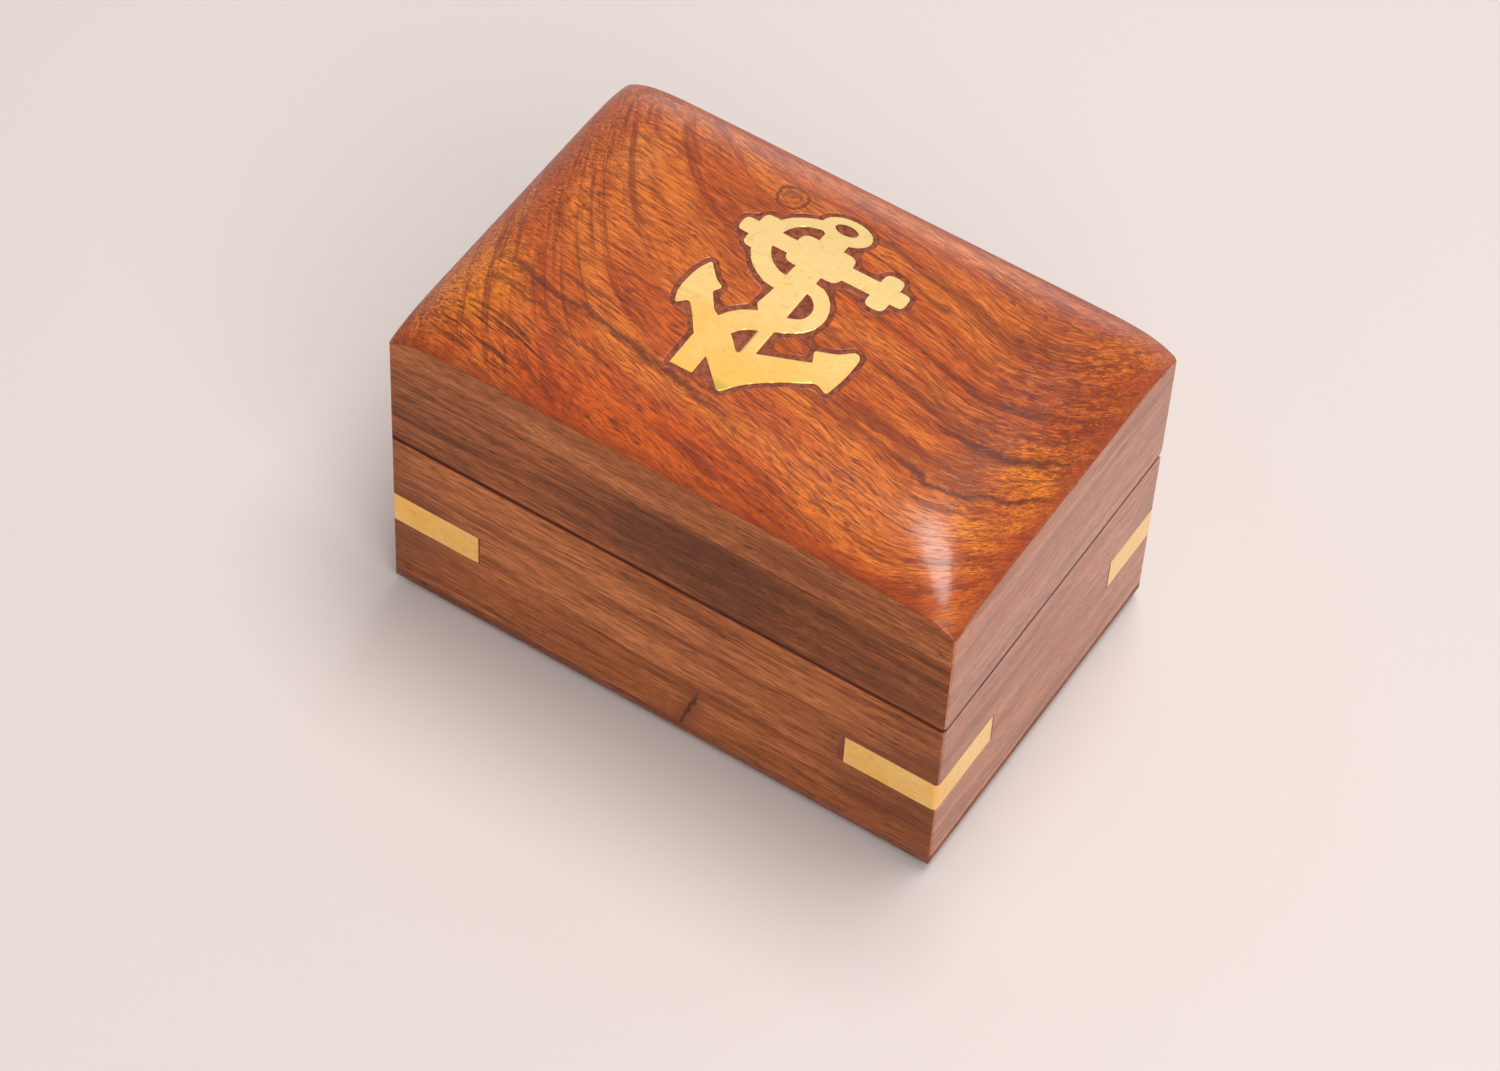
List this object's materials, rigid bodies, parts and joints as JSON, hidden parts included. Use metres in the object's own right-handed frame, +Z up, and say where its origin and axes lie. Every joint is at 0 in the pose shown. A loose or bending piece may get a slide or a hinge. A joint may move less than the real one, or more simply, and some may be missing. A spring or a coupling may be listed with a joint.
{
  "type": "ditty box",
  "caption": "Small hinged wooden keepsake box with a doubly crowned lid, a brass anchor let into the lid and brass strips let into the corners of the base.",
  "frame": {"origin": "middle of the underside, on the surface that the box stands on", "axes": "+X to the right along the long front, +Y from the front towards the hinges at the back, +Z up"},
  "size_m": [0.102, 0.0666, 0.0668],
  "materials": {
    "side_wood": "waxed",
    "board_wood": "waxed",
    "top_wood": "gloss lacquer",
    "brass": "satin",
    "dark_filling": "matt",
    "felt": "napped"
  },
  "bodies": {
    "base": {"base_front_wall": "side_wood", "base_back_wall": "side_wood", "base_left_wall": "side_wood", "base_right_wall": "side_wood", "base_board": "board_wood", "floor_felt": "felt", "strip_front_left": "brass", "strip_front_right": "brass", "strip_back_left": "brass", "strip_back_right": "brass", "strip_filling": "dark_filling", "base_leaf_left": "brass", "base_leaf_right": "brass", "hinge_pin_left": "brass", "hinge_pin_right": "brass", "base_hinge_screws": "brass"},
    "lid": {"lid_front_rail": "side_wood", "lid_back_rail": "side_wood", "lid_left_rail": "side_wood", "lid_right_rail": "side_wood", "lid_top_board": "top_wood", "anchor_inlay": "brass", "anchor_filling": "dark_filling", "lid_leaf_left": "brass", "lid_leaf_right": "brass", "lid_hinge_screws": "brass"}
  },
  "joints": [
    {"name": "lid_hinge", "type": "hinge", "parent": "base", "child": "lid", "pos_m": [0, 0.032, 0.03715], "axis": [-1, 0, 0], "range_deg": [0, 100]}
  ]
}
